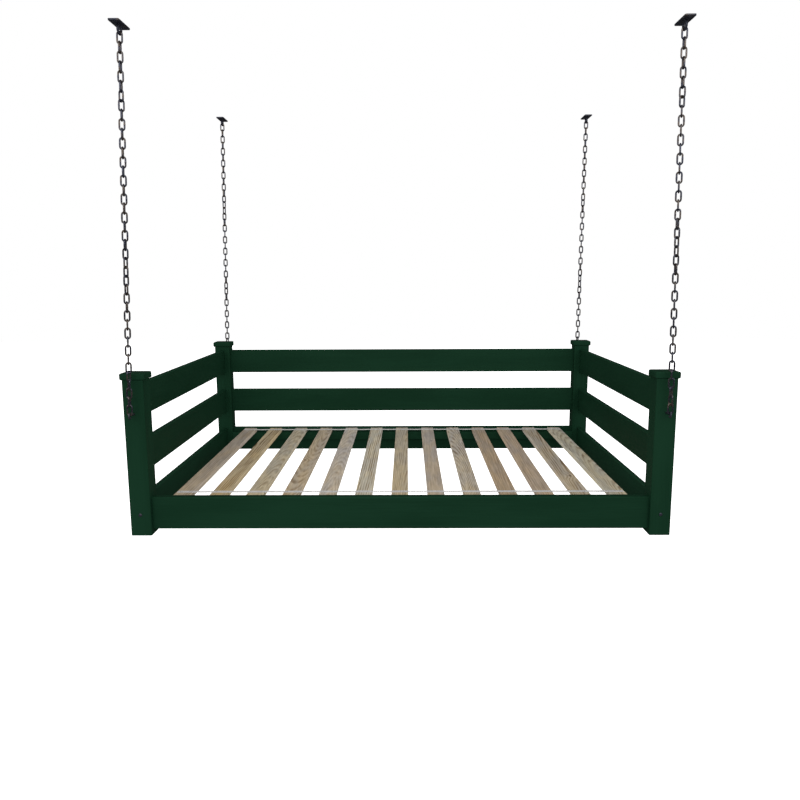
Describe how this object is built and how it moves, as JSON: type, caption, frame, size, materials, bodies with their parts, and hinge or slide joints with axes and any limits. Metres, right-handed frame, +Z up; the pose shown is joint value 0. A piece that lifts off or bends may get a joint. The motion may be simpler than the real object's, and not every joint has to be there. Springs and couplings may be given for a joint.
{
  "type": "porch swing bed",
  "caption": "Hanging porch bed: painted timber frame with post caps, slatted base and two-board arms and back, hung from the ceiling on steel chains.",
  "frame": {"origin": "middle of the frame in plan, level with the bottoms of the posts", "axes": "+Z up, +X along the seat from its left arm to its right arm, +Y from the open front to the back"},
  "size_m": [2.316, 1.812, 2.0377],
  "materials": {
    "painted_wood": "dark green exterior paint, satin, with faint grain telegraphing through",
    "slat_wood": "bare planed softwood, pale grey-tan with open grain",
    "tape_webbing": "pale grey woven tape",
    "chain_steel": "welded links, dark bronze-black oxide with worn bright spots",
    "dark_fasteners": "dark bronze-black oxide"
  },
  "bodies": {
    "ceiling_hangers": {"hanger_front_left": "dark_fasteners", "hanger_front_right": "dark_fasteners", "hanger_back_left": "dark_fasteners", "hanger_back_right": "dark_fasteners"},
    "chain_front_left": {"chain_front_left": "chain_steel"},
    "chain_front_right": {"chain_front_right": "chain_steel"},
    "chain_back_left": {"chain_back_left": "chain_steel"},
    "chain_back_right": {"chain_back_right": "chain_steel"},
    "bed": {"post_front_left": "painted_wood", "post_front_right": "painted_wood", "post_back_left": "painted_wood", "post_back_right": "painted_wood", "cap_front_left": "painted_wood", "cap_front_right": "painted_wood", "cap_back_left": "painted_wood", "cap_back_right": "painted_wood", "front_rail": "painted_wood", "back_rail": "painted_wood", "back_board_mid": "painted_wood", "back_board_top": "painted_wood", "side_rail_left": "painted_wood", "side_rail_right": "painted_wood", "arm_board_mid_left": "painted_wood", "arm_board_mid_right": "painted_wood", "arm_board_top_left": "painted_wood", "arm_board_top_right": "painted_wood", "front_ledger": "painted_wood", "back_ledger": "painted_wood", "slat_01": "slat_wood", "slat_02": "slat_wood", "slat_03": "slat_wood", "slat_04": "slat_wood", "slat_05": "slat_wood", "slat_06": "slat_wood", "slat_07": "slat_wood", "slat_08": "slat_wood", "slat_09": "slat_wood", "slat_10": "slat_wood", "slat_11": "slat_wood", "slat_12": "slat_wood", "slat_13": "slat_wood", "front_tape": "tape_webbing", "back_tape": "tape_webbing", "bolt_front_left": "dark_fasteners", "bolt_front_right": "dark_fasteners", "bolt_back_left": "dark_fasteners", "bolt_back_right": "dark_fasteners", "barrel_nut_front_left": "dark_fasteners", "barrel_nut_front_right": "dark_fasteners", "barrel_nut_back_left": "dark_fasteners", "barrel_nut_back_right": "dark_fasteners", "screw_eye_front_left": "dark_fasteners", "screw_eye_front_right": "dark_fasteners", "screw_eye_back_left": "dark_fasteners", "screw_eye_back_right": "dark_fasteners"}
  },
  "joints": [
    {"name": "swing", "type": "hinge", "parent": "ceiling_hangers", "child": "chain_front_left", "pos_m": [-1.0505, -0.846, 2.01668], "axis": [1, 0, 0], "range_deg": [-7, 7]},
    {"name": "bed_level", "type": "hinge", "parent": "chain_front_left", "child": "bed", "pos_m": [-1.1055, -0.846, 0.53], "axis": [1, 0, 0], "range_deg": [-7, 7]},
    {"name": "chain_front_right_swing", "type": "hinge", "parent": "ceiling_hangers", "child": "chain_front_right", "pos_m": [1.0795, -0.846, 2.01747], "axis": [1, 0, 0], "range_deg": [-7, 7]},
    {"name": "chain_back_left_swing", "type": "hinge", "parent": "ceiling_hangers", "child": "chain_back_left", "pos_m": [-1.0785, 0.846, 2.01745], "axis": [1, 0, 0], "range_deg": [-7, 7]},
    {"name": "chain_back_right_swing", "type": "hinge", "parent": "ceiling_hangers", "child": "chain_back_right", "pos_m": [1.1145, 0.846, 2.01767], "axis": [1, 0, 0], "range_deg": [-7, 7]}
  ],
  "couplings": [
    {"joint": "bed_level", "follows": "swing", "ratio": -1},
    {"joint": "chain_front_right_swing", "follows": "swing", "ratio": 1},
    {"joint": "chain_back_left_swing", "follows": "swing", "ratio": 1},
    {"joint": "chain_back_right_swing", "follows": "swing", "ratio": 1}
  ]
}
